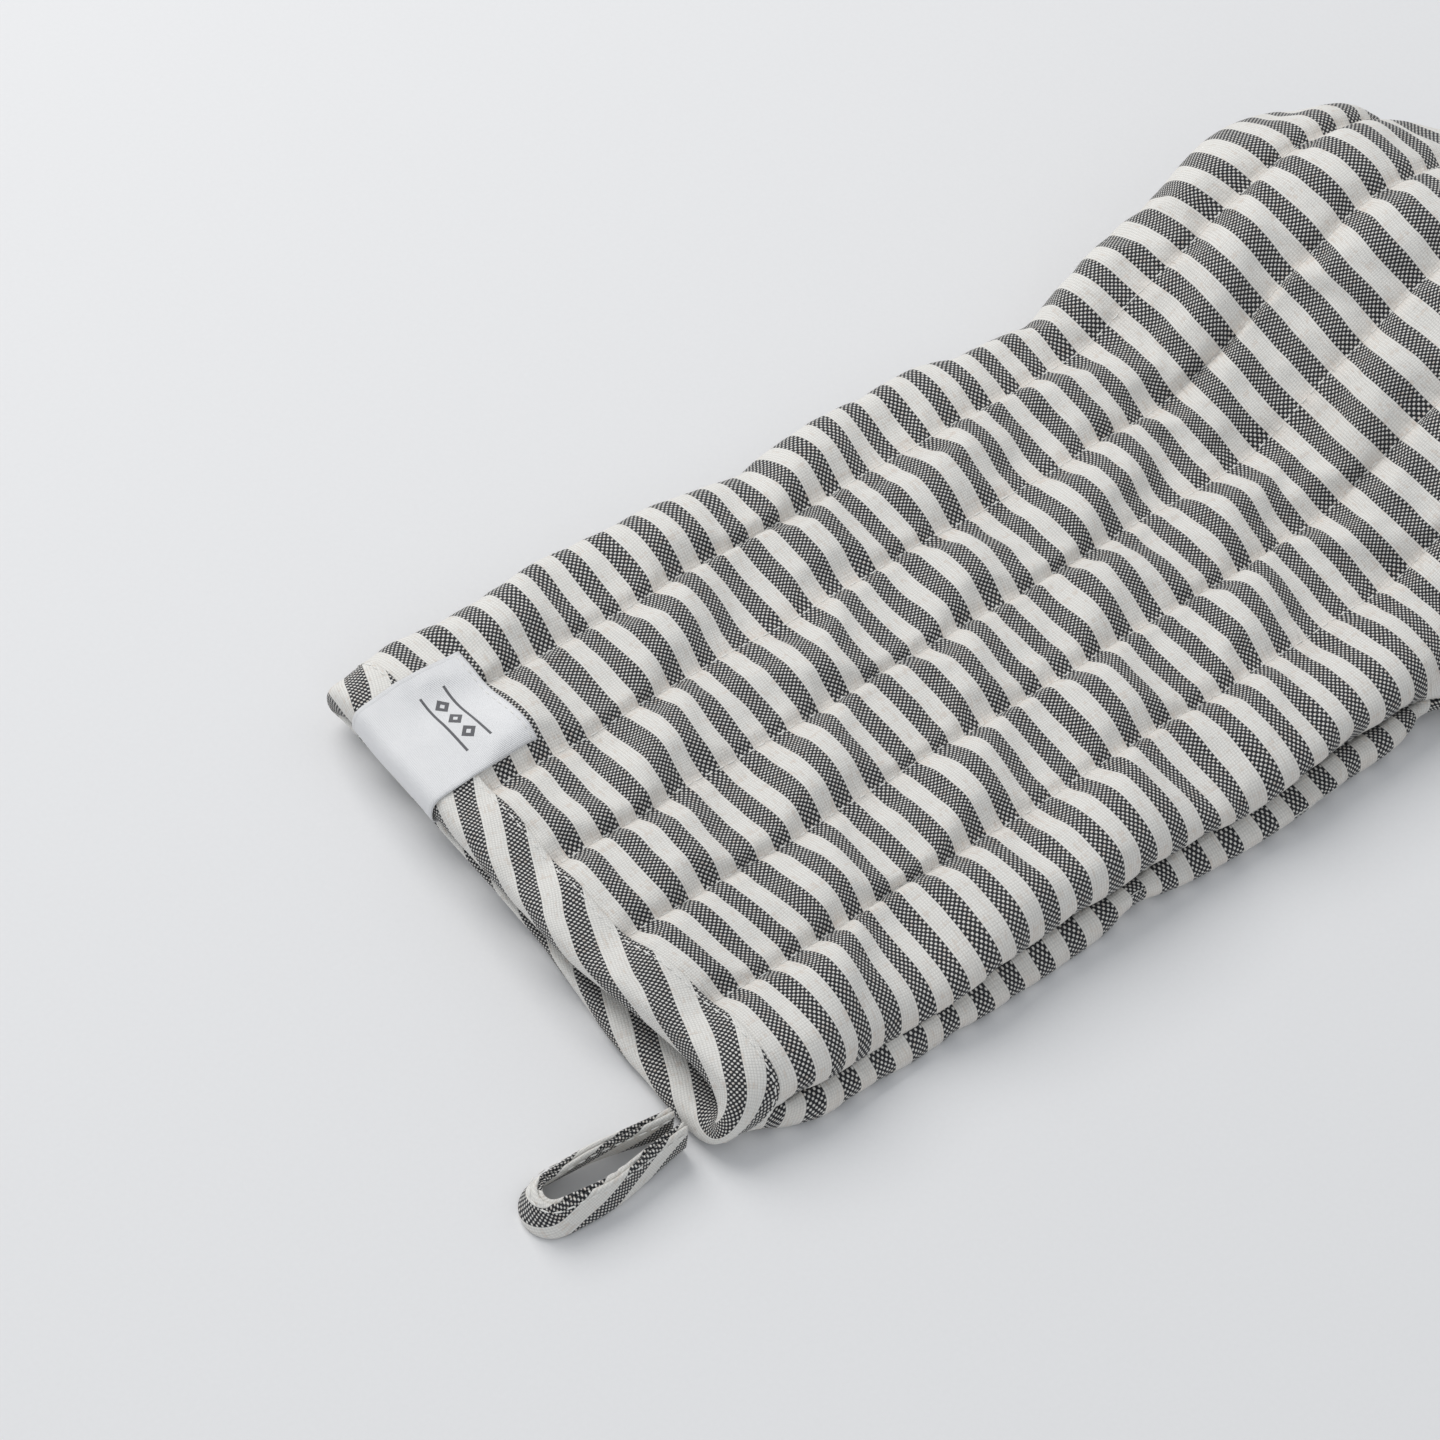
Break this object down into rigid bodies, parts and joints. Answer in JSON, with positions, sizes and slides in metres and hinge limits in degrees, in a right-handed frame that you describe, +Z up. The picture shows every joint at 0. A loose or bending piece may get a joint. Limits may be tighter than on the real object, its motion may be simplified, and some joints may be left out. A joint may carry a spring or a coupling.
{
  "type": "oven mitt",
  "caption": "Long quilted linen oven mitt with dark stripes, bias-bound cuff, folded satin label and a striped hanging loop.",
  "frame": {"origin": "middle of the cuff edge, at the height of the surface that the palm rests on", "axes": "+Y from the cuff edge to the fingertips, +X towards the thumb and hanging-loop side, +Z up through the back of the hand"},
  "size_m": [0.2093, 0.3954, 0.0607],
  "materials": {
    "striped_linen": "matte",
    "wadding": "matte",
    "lining_linen": "matte",
    "white_thread": "satin",
    "satin_ribbon": "satin"
  },
  "bodies": {
    "mitt": {"back_shell": "striped_linen", "palm_shell": "striped_linen", "back_wadding": "wadding", "palm_wadding": "wadding", "back_lining": "lining_linen", "palm_lining": "lining_linen", "back_quilting": "white_thread", "palm_quilting": "white_thread", "seam_thread": "white_thread", "cuff_binding": "striped_linen", "binding_stitch": "white_thread", "woven_label": "satin_ribbon", "label_stitch": "white_thread"},
    "loop": {"hanging_loop": "striped_linen", "loop_tack": "white_thread"}
  },
  "joints": [
    {"name": "loop_swing", "type": "hinge", "parent": "mitt", "child": "loop", "pos_m": [0.066, -0.0025, 0.005], "axis": [0, 0, 1], "range_deg": [-70, 70]}
  ]
}
